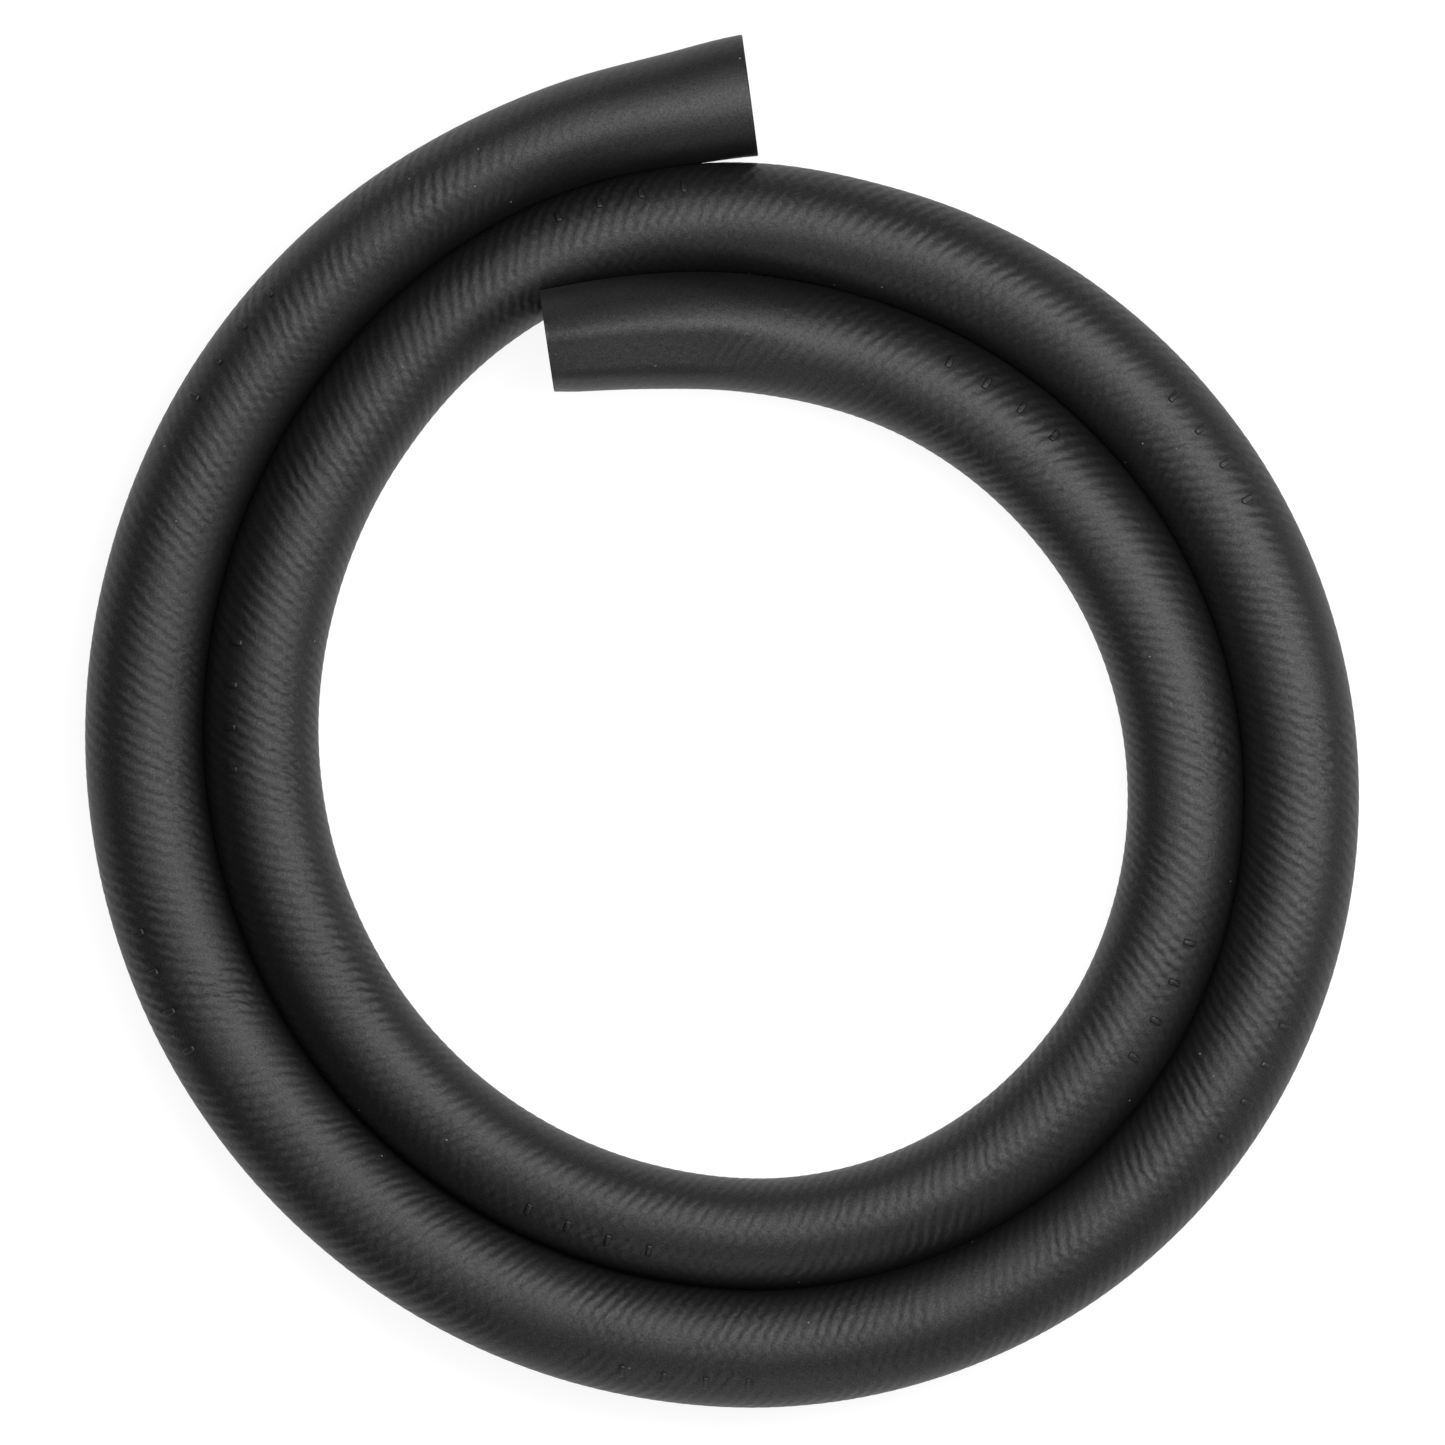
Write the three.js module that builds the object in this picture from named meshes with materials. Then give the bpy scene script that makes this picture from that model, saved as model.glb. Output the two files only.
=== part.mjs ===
import * as THREE from 'three';

// A length of black rubber fuel hose, laid flat in a loose spiral of two turns.
// Millimetres, +Z up. Seen from above the hose runs counter-clockwise from its outer end to its
// inner end, and the inner end climbs onto the flank of the turn beside it.

// The hose itself
const outerDiameter = 17;
const boreDiameter = 10;

// Clearance between a turn and the one that it lies against
const turnGap = 0.25;

// The route starts at the outer end and stops at the inner end, in degrees round the coil's middle
const outerEndAngle = 87.7;
const innerEndAngle = 834.1;
const fullTurn = 360;

// Axis of the innermost turn, chosen by hand: degrees round the coil, distance from its middle
const innerTurn = [
  [450, 77.6],
  [460, 77.25],
  [470, 76.5],
  [480, 75.1],
  [500, 72.1],
  [520, 70.0],
  [540, 69.1],
  [560, 69.0],
  [580, 69.7],
  [600, 71.0],
  [620, 72.7],
  [640, 74.5],
  [660, 74.9],
  [680, 73.7],
  [700, 71.3],
  [720, 68.3],
  [740, 65.3],
  [760, 62.7],
  [780, 61.0],
  [800, 60.3],
  [810, 60.7],
  [820, 61.6],
  [830, 63.5],
  [innerEndAngle, 64.8],
];

// The outer turn leans on the inner one. Its axis is set at these angles.
const leaningFirst = 94;
const leaningLast = 434;
const leaningStep = 10;

// The outer end springs away from the turn beside it
const outerEndStandOff = 1.0;

// Where the hose is squeezed oval: degrees round the coil, width seen from above as a share of
// the diameter. The height gains what the width loses.
const ovality = [
  [outerEndAngle, 1.06],
  [98, 0.95],
  [110, 0.9],
  [130, 0.945],
  [155, 1.0],
  [245, 1.05],
  [300, 1.0],
  [400, 1.0],
  [440, 0.98],
  [475, 0.935],
  [500, 0.98],
  [560, 0.99],
  [610, 0.965],
  [650, 0.965],
  [680, 1.0],
  [800, 0.995],
  [820, 0.985],
  [830, 0.93],
  [innerEndAngle, 0.88],
];

// The inner end climbs by this much over the last stretch of the route, given in degrees
const innerEndRise = 12.2;
const climbAngle = 50;

// Facets round the hose, and lengths along it: a whole number of them in a full turn keeps the
// facets of neighbouring turns side by side
const sides = 24;
const lengthsPerTurn = 40;
const lengths = Math.round((innerEndAngle - outerEndAngle) / fullTurn * lengthsPerTurn);

const radians = THREE.MathUtils.degToRad;
const up = new THREE.Vector3(0, 0, 1);

// A smooth curve through pairs of an angle and a value
function smoothly(pairs) {
  const angles = pairs.map(([angle]) => angle);
  const values = pairs.map(([, value]) => value);
  const curve = new THREE.CubicInterpolant(angles, values, 1, new Float64Array(1));
  return (angle) => curve.evaluate(angle)[0];
}

const widthShare = smoothly(ovality);
const widthAt = (angle) => outerDiameter * widthShare(angle);
const heightAt = (angle) => outerDiameter * (2 - widthShare(angle));

// Distance from the coil's middle to the hose's axis, over the whole route
function routeRadius() {
  const innerRadius = smoothly(innerTurn);
  const leaning = (angle, standOff = 0) => {
    const neighbour = angle + fullTurn;
    const spacing = (widthAt(angle) + widthAt(neighbour)) / 2 + turnGap;
    return [angle, innerRadius(neighbour) + spacing + standOff];
  };
  const outerTurn = [leaning(outerEndAngle, outerEndStandOff)];
  for (let angle = leaningFirst; angle <= leaningLast; angle += leaningStep) {
    outerTurn.push(leaning(angle));
  }
  return smoothly([...outerTurn, ...innerTurn]);
}

// The hose's axis as a curve, from the outer end to the inner end
class HoseRoute extends THREE.Curve {
  constructor() {
    super();
    this.radius = routeRadius();
  }

  angle(t) {
    return THREE.MathUtils.lerp(outerEndAngle, innerEndAngle, t);
  }

  getPoint(t, target = new THREE.Vector3()) {
    const angle = this.angle(t);
    const climbed = Math.max(0, 1 - (innerEndAngle - angle) / climbAngle);
    const height = heightAt(angle) / 2 + innerEndRise * climbed ** 2;
    return target.setFromCylindricalCoords(this.radius(angle), radians(angle), 0)
      .set(target.z, target.x, height);
  }

  // Level direction across the hose, away from the coil's middle
  across(t) {
    return this.getTangent(t).cross(up).normalize();
  }
}

// A straight hose of unit length: its wall turned round the Y axis, bore and end faces included
function straightHose() {
  const wall = [];
  for (let i = 0; i <= lengths; i++) {
    wall.push(new THREE.Vector2(outerDiameter / 2, i / lengths));
  }
  for (let i = lengths; i >= 0; i--) {
    wall.push(new THREE.Vector2(boreDiameter / 2, i / lengths));
  }
  wall.push(wall[0].clone());
  return new THREE.LatheGeometry(wall, sides);
}

// Lays the straight hose along the route, every section upright and squeezed as the route says
function layHose(geometry, route) {
  const position = geometry.getAttribute('position');
  const vertex = new THREE.Vector3();
  for (let i = 0; i < position.count; i++) {
    vertex.fromBufferAttribute(position, i);
    const t = THREE.MathUtils.clamp(vertex.y, 0, 1);
    const share = widthShare(route.angle(t));
    const laid = route.getPoint(t)
      .addScaledVector(route.across(t), vertex.x * share)
      .addScaledVector(up, vertex.z * (2 - share));
    position.setXYZ(i, laid.x, laid.y, laid.z);
  }
  return geometry;
}

// Stands the geometry on the origin: middle of its box in plan, lowest point on the floor
function standOnOrigin(geometry) {
  geometry.computeBoundingBox();
  const middle = geometry.boundingBox.getCenter(new THREE.Vector3());
  return geometry.translate(-middle.x, -middle.y, -geometry.boundingBox.min.z);
}

const rubber = new THREE.MeshStandardMaterial({ color: 0x232324, roughness: 0.62, metalness: 0 });

const hose = new THREE.Mesh(standOnOrigin(layHose(straightHose(), new HoseRoute())), rubber);
hose.name = 'hose';

const model = new THREE.Group();
model.add(hose);

export default model;
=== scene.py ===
"""A length of black rubber fuel hose, laid flat in a loose spiral of two turns, on a pale studio floor.

The hose is one piece. It is spun straight, with the braid's print-through raised on its cover, and is
then laid along its route. Sizes are in metres, and the route's angles are degrees round the coil's middle.
"""

import math

import bmesh
import bpy
import numpy as np
from mathutils import Matrix, Vector, noise


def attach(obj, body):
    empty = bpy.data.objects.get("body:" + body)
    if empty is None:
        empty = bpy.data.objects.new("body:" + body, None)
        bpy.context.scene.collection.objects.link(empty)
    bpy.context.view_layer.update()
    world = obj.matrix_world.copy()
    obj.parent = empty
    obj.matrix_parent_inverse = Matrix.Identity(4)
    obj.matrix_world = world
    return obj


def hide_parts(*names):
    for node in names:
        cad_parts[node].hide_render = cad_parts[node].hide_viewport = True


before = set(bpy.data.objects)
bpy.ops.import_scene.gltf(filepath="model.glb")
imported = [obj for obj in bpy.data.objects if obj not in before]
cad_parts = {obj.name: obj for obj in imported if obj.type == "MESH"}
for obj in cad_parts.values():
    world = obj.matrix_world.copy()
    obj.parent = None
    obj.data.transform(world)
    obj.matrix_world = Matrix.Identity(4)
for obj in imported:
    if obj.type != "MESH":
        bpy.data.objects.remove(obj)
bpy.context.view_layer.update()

bl_info = {
    "name": "Fuel hose",
    "version": (1, 0, 0),
    "blender": (4, 5, 0),
    "location": "3D View > Sidebar > Fuel hose",
    "description": "Braided rubber fuel hose in a loose coil, with its cut ends and a studio stage",
    "category": "Add Mesh",
}

HOSE_NODE = "hose"
ROOT_BODY = "root"
MM = 0.001
FULL_TURN = 360

# The route starts at the outer end and stops at the inner end
OUTER_END = 87.7
INNER_END = 834.1

# Axis of the innermost turn: angle round the coil, distance from its middle
INNER_TURN = (
    (450, 0.0776),
    (460, 0.07725),
    (470, 0.0765),
    (480, 0.0751),
    (500, 0.0721),
    (520, 0.0700),
    (540, 0.0691),
    (560, 0.0690),
    (580, 0.0697),
    (600, 0.0710),
    (620, 0.0727),
    (640, 0.0745),
    (660, 0.0749),
    (680, 0.0737),
    (700, 0.0713),
    (720, 0.0683),
    (740, 0.0653),
    (760, 0.0627),
    (780, 0.0610),
    (800, 0.0603),
    (810, 0.0607),
    (820, 0.0616),
    (830, 0.0635),
    (INNER_END, 0.0648),
)

# The outer turn leans on the inner one at these angles: first, last and step
LEANING = (94, 434, 10)
OUTER_END_STAND_OFF = 0.001

# Where the hose is squeezed oval: angle, width seen from above as a share of the diameter
OVALITY = (
    (OUTER_END, 1.06),
    (98, 0.95),
    (110, 0.9),
    (130, 0.945),
    (155, 1.0),
    (245, 1.05),
    (300, 1.0),
    (400, 1.0),
    (440, 0.98),
    (475, 0.935),
    (500, 0.98),
    (560, 0.99),
    (610, 0.965),
    (650, 0.965),
    (680, 1.0),
    (800, 0.995),
    (820, 0.985),
    (830, 0.93),
    (INNER_END, 0.88),
)

# Where the innermost turn is pressed against the turn beside it, and so wider: angle, share added
PRESSED = ((OUTER_END, 0), (770, 0), (780, 0), (800, 0.017), (812, 0.017), (828, 0), (INNER_END, 0))

# The inner end climbs onto the turn beside it over the last stretch of the route
INNER_END_RISE = 0.0122
CLIMB_ANGLE = 50

# The raised bars lie on a line that wanders round the hose: place along it, degrees from the top
# outwards. Groups of four follow each other from the first group's middle on.
BAR_LINE = (
    (0.086, 44),
    (0.182, 38),
    (0.278, 37),
    (0.375, 31),
    (0.472, 26),
    (0.570, 37),
    (0.664, 32),
    (0.758, 31),
    (0.854, 26),
    (0.950, 30),
)
BARS_IN_GROUP = 4

# Near the inner end the cover is creased: inwards from this angle, in degrees from the top outwards,
# it is flat, and the flat faces so many degrees away from it
CREASE_ANGLE = 4
FLAT_TILT = 24

# The camera looks straight down on a square of this width round this point. Its long lens, in
# millimetres, keeps the view nearly parallel.
VIEW_WIDTH = 0.2155
CAMERA_AIM = (0.00007, -0.00022, 0.0085)
LENS, SENSOR_WIDTH = 1000, 36
VIEW_REACH = 20

# The floor's own glow, which hides the hose's shadow on it, and the glow of the room around
FLOOR_HALF_WIDTH = 3
FLOOR_GLOW = 0.88
ROOM_GLOW = 0.01

# Studio lamps: name, degrees from straight above, azimuth, distance, size and power in watts
SOFTBOXES = (
    ("key", 22, 40, 0.7, 0.40, 3.6),
    ("top", 14, 225, 0.7, 0.50, 1.5),
    ("side", 46, 5, 0.5, 0.22, 1.0),
    ("back", 42, 115, 0.7, 0.30, 1.15),
    ("rim_front", 68, 270, 0.7, 0.30, 0.8),
    ("rim_corner", 68, 325, 0.7, 0.30, 0.25),
)

# Attributes that keep each point's place on the straight hose (along it, outwards and up), and how
# strongly the braid prints through there
STRAIGHT = "straight"
RIB_STRENGTH = "rib_strength"


class HoseSizes(bpy.types.PropertyGroup):
    """Sizes of the hose and of the braid that prints through its cover"""

    outer_diameter: bpy.props.FloatProperty(
        name="Outer diameter", description="Across the rubber cover, where turns press on each other",
        default=0.0173, unit="LENGTH")
    bore_diameter: bpy.props.FloatProperty(
        name="Bore", description="Across the hole", default=0.010, unit="LENGTH")
    turn_gap: bpy.props.FloatProperty(
        name="Turn gap", description="Between turns, below nothing where they press on each other",
        default=-0.00012, unit="LENGTH")
    cut_edge: bpy.props.FloatProperty(
        name="Cut edge", description="Rounding of the edges at the cut ends", default=0.00022,
        unit="LENGTH")
    braid_pitch: bpy.props.FloatProperty(
        name="Braid pitch", description="Between ribs, along the hose", default=0.0019, unit="LENGTH")
    braid_strands: bpy.props.IntProperty(
        name="Braid strands", description="Strands of each hand round the hose", default=15, min=1)
    leading_relief: bpy.props.FloatProperty(
        name="Leading ribs", description="Height of the ribs that show most", default=0.000026,
        unit="LENGTH")
    crossing_relief: bpy.props.FloatProperty(
        name="Crossing ribs", description="Height of the ribs of the other hand", default=0.000009,
        unit="LENGTH")
    crease_length: bpy.props.FloatProperty(
        name="Crease length", description="From the inner end to where the crease has faded",
        default=0.042, unit="LENGTH")
    group_pitch: bpy.props.FloatProperty(
        name="Group pitch", description="Between groups of raised bars", default=0.096, unit="LENGTH")
    bar_pitch: bpy.props.FloatProperty(
        name="Bar pitch", description="Between bars of one group", default=0.006, unit="LENGTH")
    bar_length: bpy.props.FloatProperty(
        name="Bar length", description="Of a raised bar, round the hose", default=0.002, unit="LENGTH")
    bar_width: bpy.props.FloatProperty(
        name="Bar width", description="Of a raised bar, along the hose", default=0.0009, unit="LENGTH")
    bar_height: bpy.props.FloatProperty(
        name="Bar height", description="Above the cover", default=0.00028, unit="LENGTH")


class HoseFinish(bpy.types.PropertyGroup):
    """Colours of the hose and of the floor"""

    cover: bpy.props.StringProperty(
        name="Cover", description="Rubber cover, as an sRGB hex value", default="040404")
    worn_cover: bpy.props.StringProperty(
        name="Worn cover", description="Cover where it is rubbed", default="090909")
    lint: bpy.props.StringProperty(
        name="Lint", description="Specks that cling to the cover", default="757573")
    cut_face: bpy.props.StringProperty(
        name="Cut face", description="Cut rubber of the hose's wall", default="181819")
    yarn: bpy.props.StringProperty(
        name="Yarn", description="Yarn ends in the cut face", default="4A4947")
    floor: bpy.props.StringProperty(
        name="Floor", description="Studio floor", default="6E6E6E")


def smoothly(pairs):
    """A smooth curve through pairs of a place and a value. At each, it slopes as its two sides do."""
    places, values = np.array(pairs, dtype=float).T
    steps = np.diff(places)
    slopes = np.diff(values) / steps
    tangents = np.concatenate([slopes[:1], (slopes[:-1] + slopes[1:]) / 2, slopes[-1:]])

    def curve(at):
        at = np.clip(at, places[0], places[-1])
        i = np.clip(np.searchsorted(places, at, side="right") - 1, 0, len(steps) - 1)
        p = (at - places[i]) / steps[i]
        rise = p * p * (3 - 2 * p)
        leave = p * (1 - p) ** 2 * steps[i] * tangents[i]
        arrive = p * p * (p - 1) * steps[i] * tangents[i + 1]
        return values[i] * (1 - rise) + values[i + 1] * rise + leave + arrive

    return curve


class Route:
    """The line that the hose lies along, and how it is squeezed there"""

    def __init__(self, sizes, samples=6000):
        self.diameter = sizes.outer_diameter
        self.oval, self.pressed = smoothly(OVALITY), smoothly(PRESSED)
        inner_radius = smoothly(INNER_TURN)
        leaning = []
        first, last, step = LEANING
        for angle in (OUTER_END, *range(first, last + step, step)):
            neighbour = angle + FULL_TURN
            spacing = self.diameter * (self.oval(angle) + self.oval(neighbour)) / 2 + sizes.turn_gap
            stand_off = OUTER_END_STAND_OFF if angle == OUTER_END else 0
            leaning.append((angle, inner_radius(neighbour) + spacing + stand_off))
        self.radius = smoothly((*leaning, *INNER_TURN))
        self.middle = np.zeros(3)
        self.angles = np.linspace(OUTER_END, INNER_END, samples)
        self.middle = self.box_middle()
        steps = np.linalg.norm(np.diff(self.points(self.angles), axis=0), axis=1)
        self.travelled = np.concatenate([[0], np.cumsum(steps)])
        self.length = self.travelled[-1]

    def share(self, angles):
        """Width seen from above at these angles, as a share of the diameter"""
        return self.oval(angles) + self.pressed(angles)

    def points(self, angles):
        """The hose's axis at these angles"""
        turn = np.radians(angles)
        climbed = np.clip(1 - (INNER_END - angles) / CLIMB_ANGLE, 0, 1)
        height = self.diameter * (2 - self.share(angles)) / 2 + INNER_END_RISE * climbed ** 2
        radius = self.radius(angles)
        line = np.stack([radius * np.cos(turn), radius * np.sin(turn), height], axis=1)
        return line - self.middle

    def across(self, angles):
        """Level directions across the hose, away from the coil's middle"""
        small = 0.05
        ahead = self.points(np.minimum(angles + small, INNER_END))
        behind = self.points(np.maximum(angles - small, OUTER_END))
        along = ahead - behind
        level = np.stack([along[:, 1], -along[:, 0], np.zeros(len(along))], axis=1)
        return level / np.linalg.norm(level, axis=1)[:, None]

    def box_middle(self):
        """Middle of the hose's box in plan, which the part stands on"""
        half = (self.diameter * self.share(self.angles) / 2)[:, None] * self.across(self.angles)
        edges = np.concatenate([self.points(self.angles) + half, self.points(self.angles) - half])
        middle = (edges.min(axis=0) + edges.max(axis=0)) / 2
        middle[2] = 0
        return middle

    def lay(self, straight):
        """Moves points of the straight hose, given as along, across and up, to where they lie"""
        angles = np.interp(straight[:, 0], self.travelled, self.angles)
        share = self.share(angles)[:, None]
        upwards = np.array([[0.0, 0.0, 1.0]])
        return (
            self.points(angles)
            + self.across(angles) * straight[:, 1:2] * share
            + upwards * straight[:, 2:3] * (2 - share)
        )


def wall_outline(sizes, length):
    """The hose's wall on one side of its axis, as places along the hose and distances from its axis.

    The line runs along the cover, over the far cut end, back through the bore and over the near end.
    """
    outer, bore, edge = sizes.outer_diameter / 2, sizes.bore_diameter / 2, sizes.cut_edge
    cover_step, bore_lengths, face_rings = 0.5 * MM, 100, 6
    cover = [(s, outer) for s in np.linspace(edge, length - edge, round(length / cover_step))]
    round_over = [(edge * (1 - math.sin(a)), outer - edge * (1 - math.cos(a)))
                  for a in (math.radians(30), math.radians(60))]
    face = [(0, r) for r in np.linspace(outer - edge, bore, face_rings)]
    near_end = [*round_over, *face]
    far_end = [(length - s, r) for s, r in near_end]
    inside = [(s, bore) for s in np.linspace(length, 0, bore_lengths)[1:-1]]
    return [*cover, *far_end, *inside, *reversed(near_end)]


def raise_bars(bm, sizes):
    """Groups of plain raised bars, moulded on the cover of the straight hose"""
    line = smoothly(BAR_LINE)
    last = sizes.bar_pitch * (BARS_IN_GROUP - 1) / 2
    for group in range(len(BAR_LINE)):
        middle = BAR_LINE[0][0] + group * sizes.group_pitch
        for along in np.linspace(middle - last, middle + last, BARS_IN_GROUP):
            turned = Matrix.Rotation(math.radians(-line(along)), 4, "X")
            place = Matrix.Translation((along, 0, 0)) @ turned @ Matrix.Translation(
                (0, 0, sizes.outer_diameter / 2))
            size = Matrix.Diagonal((sizes.bar_width, sizes.bar_length, 2 * sizes.bar_height, 1))
            bar = bmesh.ops.create_cube(bm, size=1, matrix=place @ size)["verts"]
            edges = list(dict.fromkeys(edge for vert in bar for edge in vert.link_edges))
            bmesh.ops.bevel(bm, geom=edges, offset=0.8 * sizes.bar_height, segments=2, profile=0.5,
                            affect="EDGES", material=-1)


def straight_hose(sizes, length):
    """The hose before it is laid: along X, with Y outwards, spun from the outline of its wall"""
    sides = 3 * sizes.braid_strands
    bm = bmesh.new()
    ring = [bm.verts.new((s, 0, -r)) for s, r in wall_outline(sizes, length)]
    for start, end in zip(ring, ring[1:] + ring[:1]):
        bm.edges.new((start, end))
    bmesh.ops.spin(bm, geom=[*bm.verts, *bm.edges], cent=(0, 0, 0), axis=(1, 0, 0), dvec=(0, 0, 0),
                   angle=math.tau, steps=sides, use_merge=True, use_duplicate=False)
    raise_bars(bm, sizes)
    bmesh.ops.recalc_face_normals(bm, faces=bm.faces)
    # The spin and the bevels leave points and faces in no fixed order, so each is put in one, along
    # a slanting direction in which no two of them tie
    slant = Vector((1, 0.0137, 0.0071))
    bm.verts.sort(key=lambda vert: vert.co.dot(slant))
    bm.faces.sort(key=lambda face: face.calc_center_median().dot(slant))
    mesh = bpy.data.meshes.new("hose")
    bm.to_mesh(mesh)
    bm.free()
    mesh.shade_smooth()
    return mesh


def read(values, name, width=3):
    """One property of all vertices or faces, as an array"""
    flat = np.empty(len(values) * width, dtype=np.float32)
    values.foreach_get(name, flat)
    return flat.reshape(-1, width).astype(float)


def rib_strength(straight, length):
    """How strongly the braid prints through at each point: unevenly, and less towards the ends"""
    patch, plain_end, fade = 9 * MM, 20 * MM, 30 * MM
    uneven = np.array([1 + 1.1 * noise.noise(Vector(point) / patch) for point in straight])
    from_end = np.minimum(straight[:, 0], length - straight[:, 0])
    return uneven * (0.3 + 0.7 * np.clip((from_end - plain_end) / fade, 0, 1))


def cover_relief(sizes, straight, strength, length):
    """How far the braid and the crease lift each point of the straight hose"""
    along, outwards, upwards = straight.T
    from_top = np.arctan2(outwards, upwards)
    pitch = math.tau * along / sizes.braid_pitch
    leading = sizes.leading_relief * np.cos(pitch + sizes.braid_strands * from_top)
    crossing = sizes.crossing_relief * np.cos(pitch - sizes.braid_strands * from_top)
    from_end = np.clip(np.minimum(along, length - along) / sizes.braid_pitch, 0, 1)
    # The flat is a chord across the round cover. It is at its full depth over most of its length.
    from_flat = np.abs(from_top - math.radians(CREASE_ANGLE - FLAT_TILT))
    flat = np.minimum(0, math.cos(math.radians(FLAT_TILT)) / np.cos(np.minimum(from_flat, 1)) - 1)
    fading = np.clip(1 - (length - along) / sizes.crease_length, 0, 1)
    crease = sizes.outer_diameter / 2 * flat * np.minimum(1, 3 * fading)
    on_cover = np.hypot(outwards, upwards) > sizes.outer_diameter / 2 - sizes.cut_edge / 4
    return ((leading + crossing) * strength * from_end + crease) * on_cover


def surface_kinds(sizes, mesh, length):
    """Which material each face of the straight hose has: 0 the cover, 1 the cut ends, 2 the bore"""
    along, outwards, upwards = read(mesh.polygons, "center").T
    from_axis = np.hypot(outwards, upwards)
    cut = (np.minimum(along, length - along) < sizes.cut_edge / 8)
    bore = from_axis < sizes.bore_diameter / 2 + sizes.cut_edge / 8
    return np.where(cut, 1, np.where(bore, 2, 0)).astype(np.int32)


def linear(hex_colour):
    """A colour for a shader from an sRGB hex value"""
    levels = [int(hex_colour[i:i + 2], 16) / 255 for i in (0, 2, 4)]
    return [v / 12.92 if v <= 0.04045 else ((v + 0.055) / 1.055) ** 2.4 for v in levels] + [1.0]


def add(tree, kind, links=None, **settings):
    """Adds a node with its settings, gives its inputs each a socket or a value, and returns its output"""
    node = tree.nodes.new(kind)
    for name, value in settings.items():
        setattr(node, name, value)
    inputs = [socket for socket in node.inputs if socket.enabled]
    for name, source in (links or {}).items():
        socket = inputs[name] if isinstance(name, int) else next(s for s in inputs if s.name == name)
        if isinstance(source, bpy.types.NodeSocket):
            tree.links.new(source, socket)
        else:
            socket.default_value = source
    return next((socket for socket in node.outputs if socket.enabled), None)


def new_material(name):
    """A material with an empty node tree"""
    material = bpy.data.materials.new(name)
    material.use_nodes = True
    material.node_tree.nodes.clear()
    return material, material.node_tree


def straight_place(tree):
    """The point's place on the straight hose, which every pattern of the hose follows"""
    return add(tree, "ShaderNodeAttribute", attribute_name=STRAIGHT).node.outputs["Vector"]


def rubber_cover(finish, sizes):
    """Nitrile rubber cured in a cloth wrap.

    The wrap leaves a satin, finely grained skin over the ribs of the braid. Handling rubs it lighter in
    patches and leaves specks of lint on it.
    """
    # The real skin is grained at about 0.1 mm. It is drawn coarser, so that a pixel can show it.
    grain_size, grain_relief = 0.25 * MM, 0.035 * MM
    wrap_size, wrap_relief = 1.4 * MM, 0.05 * MM
    patch_size, lint_spacing = 7 * MM, 5 * MM
    material, tree = new_material("cured_rubber_cover")
    straight = straight_place(tree)
    patches = add(tree, "ShaderNodeTexNoise", {
        "Vector": straight, "Scale": 1 / patch_size, "Detail": 5, "Roughness": 0.65})
    rubbed = add(tree, "ShaderNodeMapRange", {
        "Value": patches, "From Min": 0.4, "From Max": 0.7, "To Min": 0, "To Max": 1})
    tint = add(tree, "ShaderNodeMix", {
        "Factor": rubbed, "A": linear(finish.cover), "B": linear(finish.worn_cover)}, data_type="RGBA")
    specks = add(tree, "ShaderNodeTexVoronoi", {"Vector": straight, "Scale": 1 / lint_spacing})
    lint = add(tree, "ShaderNodeMapRange", {
        "Value": specks, "From Min": 0.016, "From Max": 0.034, "To Min": 1, "To Max": 0})
    dusty = add(tree, "ShaderNodeMix", {
        "Factor": lint, "A": tint, "B": linear(finish.lint)}, data_type="RGBA")
    grain = add(tree, "ShaderNodeTexNoise", {
        "Vector": straight, "Scale": 1 / grain_size, "Detail": 2, "Roughness": 0.6})
    wrap = add(tree, "ShaderNodeTexNoise", {
        "Vector": straight, "Scale": 1 / wrap_size, "Detail": 2, "Roughness": 0.5})
    strength = add(tree, "ShaderNodeAttribute", attribute_name=RIB_STRENGTH).node.outputs["Fac"]
    ribs = add(tree, "ShaderNodeMath", {
        0: braid_ribs(tree, straight, sizes), 1: strength}, operation="MULTIPLY")
    skin = add(tree, "ShaderNodeMath", {0: grain, 1: grain_relief, 2: ribs}, operation="MULTIPLY_ADD")
    height = add(tree, "ShaderNodeMath", {0: wrap, 1: wrap_relief, 2: skin}, operation="MULTIPLY_ADD")
    bump = add(tree, "ShaderNodeBump", {"Height": height, "Strength": 1, "Distance": 1})
    sheen = add(tree, "ShaderNodeMapRange", {
        "Value": grain, "From Min": 0.3, "From Max": 0.7, "To Min": 0.34, "To Max": 0.66})
    shader = add(tree, "ShaderNodeBsdfPrincipled", {
        "Base Color": dusty, "Roughness": 0.52, "IOR": 1.5, "Specular IOR Level": sheen, "Normal": bump})
    add(tree, "ShaderNodeOutputMaterial", {"Surface": shader})
    return material


def braid_ribs(tree, straight, sizes):
    """Height of the two hands of ribs over the cover, in metres. The ribs wander a little."""
    wander_size, wander_phase = 2.5 * MM, 5.0
    place = add(tree, "ShaderNodeSeparateXYZ", {"Vector": straight}).node.outputs
    from_top = add(tree, "ShaderNodeMath", {0: place["Y"], 1: place["Z"]}, operation="ARCTAN2")
    wander = add(tree, "ShaderNodeTexNoise", {
        "Vector": straight, "Scale": 1 / wander_size, "Detail": 1, "Roughness": 0.5})
    strayed = add(tree, "ShaderNodeMath", {0: wander, 1: wander_phase}, operation="MULTIPLY")
    pitch = add(tree, "ShaderNodeMath", {0: place["X"], 1: math.tau / sizes.braid_pitch, 2: strayed},
                operation="MULTIPLY_ADD")
    height = 0.0
    for strands, relief in ((sizes.braid_strands, sizes.leading_relief),
                            (-sizes.braid_strands, sizes.crossing_relief)):
        phase = add(tree, "ShaderNodeMath", {0: from_top, 1: strands, 2: pitch}, operation="MULTIPLY_ADD")
        wave = add(tree, "ShaderNodeMath", {0: phase}, operation="COSINE")
        height = add(tree, "ShaderNodeMath", {0: wave, 1: relief, 2: height},
                     operation="MULTIPLY_ADD")
    return height


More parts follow.
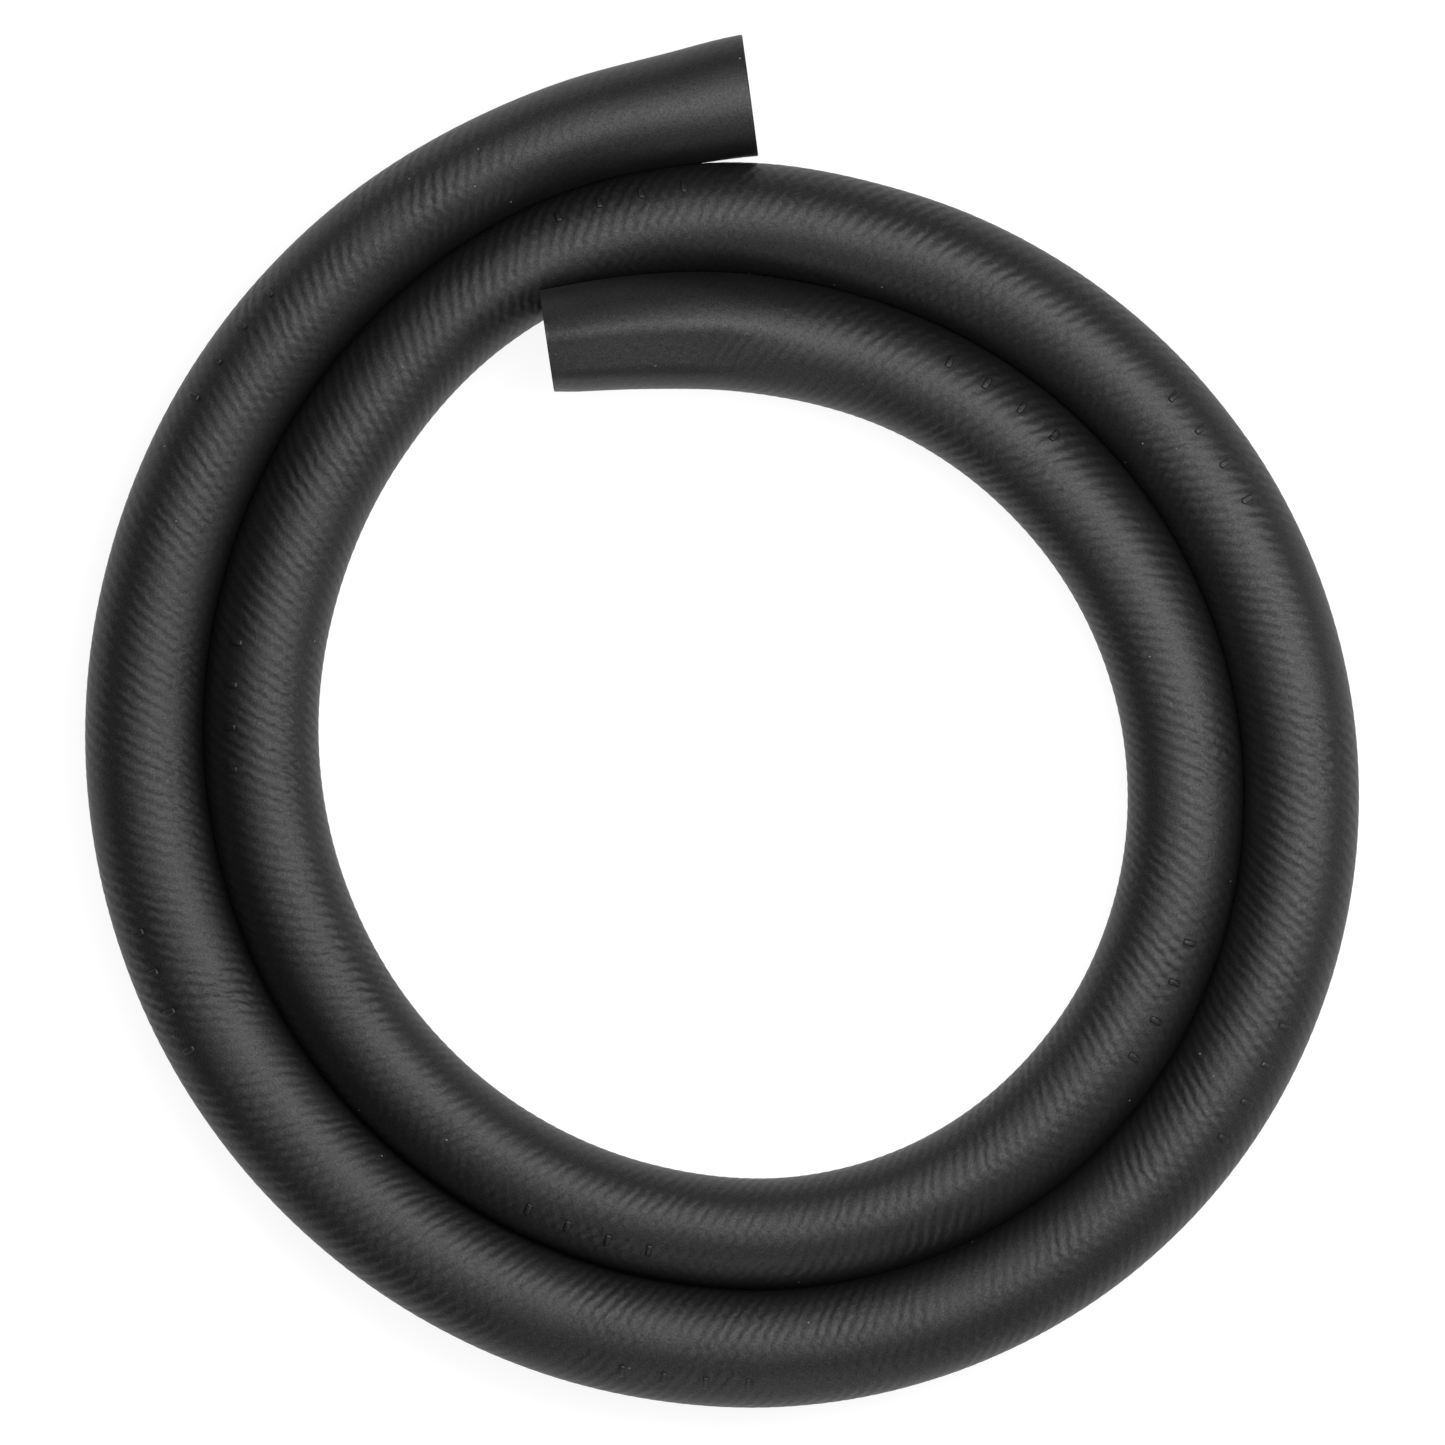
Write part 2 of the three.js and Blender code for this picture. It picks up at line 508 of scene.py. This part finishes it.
def cut_rubber(finish, sizes):
    """Nitrile rubber cut with a blade: dull and faintly torn, with a ring of yarn ends in the wall"""
    material, tree = new_material("cut_rubber_wall")
    ring_radius, yarn_width, tear_size, tear_depth = 6.9 * MM, 0.28 * MM, 0.8 * MM, 0.05 * MM
    straight = straight_place(tree)
    place = add(tree, "ShaderNodeSeparateXYZ", {"Vector": straight}).node.outputs
    flat = add(tree, "ShaderNodeCombineXYZ", {"X": place["Y"], "Y": place["Z"]})
    from_axis = add(tree, "ShaderNodeVectorMath", {0: flat}, operation="LENGTH")
    away = add(tree, "ShaderNodeMath", {0: from_axis, 1: ring_radius}, operation="SUBTRACT")
    beside = add(tree, "ShaderNodeMath", {0: away}, operation="ABSOLUTE")
    ring = add(tree, "ShaderNodeMapRange", {
        "Value": beside, "From Min": yarn_width, "From Max": 1.3 * yarn_width, "To Min": 1, "To Max": 0})
    turn = add(tree, "ShaderNodeMath", {0: place["Z"], 1: place["Y"]}, operation="ARCTAN2")
    strand = add(tree, "ShaderNodeMath", {0: turn, 1: 2 * sizes.braid_strands}, operation="MULTIPLY")
    wave = add(tree, "ShaderNodeMath", {0: strand}, operation="COSINE")
    dots = add(tree, "ShaderNodeMapRange", {
        "Value": wave, "From Min": -0.2, "From Max": 0.5, "To Min": 0, "To Max": 1})
    yarn = add(tree, "ShaderNodeMath", {0: ring, 1: dots}, operation="MULTIPLY")
    tint = add(tree, "ShaderNodeMix", {
        "Factor": yarn, "A": linear(finish.cut_face), "B": linear(finish.yarn)}, data_type="RGBA")
    tears = add(tree, "ShaderNodeTexNoise", {
        "Vector": straight, "Scale": 1 / tear_size, "Detail": 4, "Roughness": 0.6})
    bump = add(tree, "ShaderNodeBump", {"Height": tears, "Strength": 1, "Distance": tear_depth})
    shader = add(tree, "ShaderNodeBsdfPrincipled", {
        "Base Color": tint, "Roughness": 0.75, "IOR": 1.5, "Normal": bump})
    add(tree, "ShaderNodeOutputMaterial", {"Surface": shader})
    return material


def bore_lining(finish):
    """Nitrile rubber extruded over a smooth pin: plain, even and slightly glossier than the cover"""
    material, tree = new_material("extruded_rubber_lining")
    shader = add(tree, "ShaderNodeBsdfPrincipled", {
        "Base Color": linear(finish.cover), "Roughness": 0.4, "IOR": 1.5})
    add(tree, "ShaderNodeOutputMaterial", {"Surface": shader})
    return material


class FUELHOSE_OT_hose(bpy.types.Operator):
    """Spins the hose, raises its braid and lays it in its coil"""

    bl_idname = "fuelhose.hose"
    bl_label = "Hose"

    def execute(self, context):
        sizes, finish = context.scene.hose_sizes, context.scene.hose_finish
        route = Route(sizes)
        mesh = straight_hose(sizes, route.length)
        straight = read(mesh.vertices, "co")
        attribute = mesh.attributes.new(STRAIGHT, "FLOAT_VECTOR", "POINT")
        attribute.data.foreach_set("vector", straight.astype(np.float32).ravel())
        strength = rib_strength(straight, route.length)
        attribute = mesh.attributes.new(RIB_STRENGTH, "FLOAT", "POINT")
        attribute.data.foreach_set("value", strength.astype(np.float32))
        mesh.polygons.foreach_set("material_index", surface_kinds(sizes, mesh, route.length))
        away = straight * [0, 1, 1]
        away /= np.linalg.norm(away, axis=1)[:, None]
        relief = cover_relief(sizes, straight, strength, route.length)
        raised = straight + away * relief[:, None]
        mesh.vertices.foreach_set("co", route.lay(raised).astype(np.float32).ravel())
        mesh.update()
        for material in (rubber_cover(finish, sizes), cut_rubber(finish, sizes), bore_lining(finish)):
            mesh.materials.append(material)
        hose = bpy.data.objects.new("fuel_hose", mesh)
        context.scene.collection.objects.link(hose)
        line = route.points(np.linspace(OUTER_END, INNER_END, 400))
        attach(hose, ROOT_BODY)
        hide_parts(HOSE_NODE)
        return {"FINISHED"}


def softbox(context, name, tilt, azimuth, away, size, power):
    """A square softbox that faces the coil, so many degrees from straight above it"""
    light = bpy.data.lights.new(name, "AREA")
    light.size, light.energy = size, power
    lamp = bpy.data.objects.new(name, light)
    turned = Matrix.Rotation(math.radians(azimuth), 4, "Z") @ Matrix.Rotation(math.radians(tilt), 4, "Y")
    lamp.matrix_world = turned @ Matrix.Translation((0, 0, away))
    context.scene.collection.objects.link(lamp)


class FUELHOSE_OT_stage(bpy.types.Operator):
    """Makes the camera, the floor and the lights"""

    bl_idname = "fuelhose.stage"
    bl_label = "Stage"

    def execute(self, context):
        finish = context.scene.hose_finish
        camera_data = bpy.data.cameras.new("camera")
        camera_data.lens, camera_data.sensor_width = LENS, SENSOR_WIDTH
        camera_data.clip_end = VIEW_REACH
        camera = bpy.data.objects.new("camera", camera_data)
        aim_x, aim_y, aim_z = CAMERA_AIM
        camera.location = (aim_x, aim_y, aim_z + VIEW_WIDTH * LENS / SENSOR_WIDTH)
        context.scene.collection.objects.link(camera)
        context.scene.camera = camera

        bm = bmesh.new()
        bmesh.ops.create_grid(bm, x_segments=1, y_segments=1, size=FLOOR_HALF_WIDTH)
        mesh = bpy.data.meshes.new("floor")
        bm.to_mesh(mesh)
        bm.free()
        floor = bpy.data.objects.new("floor", mesh)
        context.scene.collection.objects.link(floor)
        material = bpy.data.materials.new("floor")
        material.use_nodes = True
        shader = material.node_tree.nodes["Principled BSDF"]
        shader.inputs["Base Color"].default_value = linear(finish.floor)
        shader.inputs["Roughness"].default_value = 0.9
        shader.inputs["Emission Color"].default_value = (1, 1, 1, 1)
        shader.inputs["Emission Strength"].default_value = FLOOR_GLOW
        mesh.materials.append(material)

        world = bpy.data.worlds.new("studio")
        world.use_nodes = True
        world.node_tree.nodes["Background"].inputs["Color"].default_value = (1, 1, 1, 1)
        world.node_tree.nodes["Background"].inputs["Strength"].default_value = ROOM_GLOW
        context.scene.world = world
        for lamp in SOFTBOXES:
            softbox(context, *lamp)
        context.scene.view_settings.view_transform = "Standard"
        return {"FINISHED"}


class FUELHOSE_PT_panel(bpy.types.Panel):
    """Lists the hose's sizes, its finish and the steps that make it"""

    bl_label = "Fuel hose"
    bl_space_type = "VIEW_3D"
    bl_region_type = "UI"
    bl_category = "Fuel hose"

    def draw(self, context):
        for group in (context.scene.hose_sizes, context.scene.hose_finish):
            for name in group.__annotations__:
                self.layout.prop(group, name)
        for step in STEPS:
            self.layout.operator(step.bl_idname)


STEPS = (FUELHOSE_OT_stage, FUELHOSE_OT_hose)
CLASSES = (HoseSizes, HoseFinish, *STEPS, FUELHOSE_PT_panel)


def register():
    for cls in CLASSES:
        bpy.utils.register_class(cls)
    bpy.types.Scene.hose_sizes = bpy.props.PointerProperty(type=HoseSizes)
    bpy.types.Scene.hose_finish = bpy.props.PointerProperty(type=HoseFinish)


def unregister():
    del bpy.types.Scene.hose_finish
    del bpy.types.Scene.hose_sizes
    for cls in reversed(CLASSES):
        bpy.utils.unregister_class(cls)


def main():
    register()
    bpy.ops.fuelhose.stage()
    bpy.ops.fuelhose.hose()


if __name__ == "__main__":
    main()
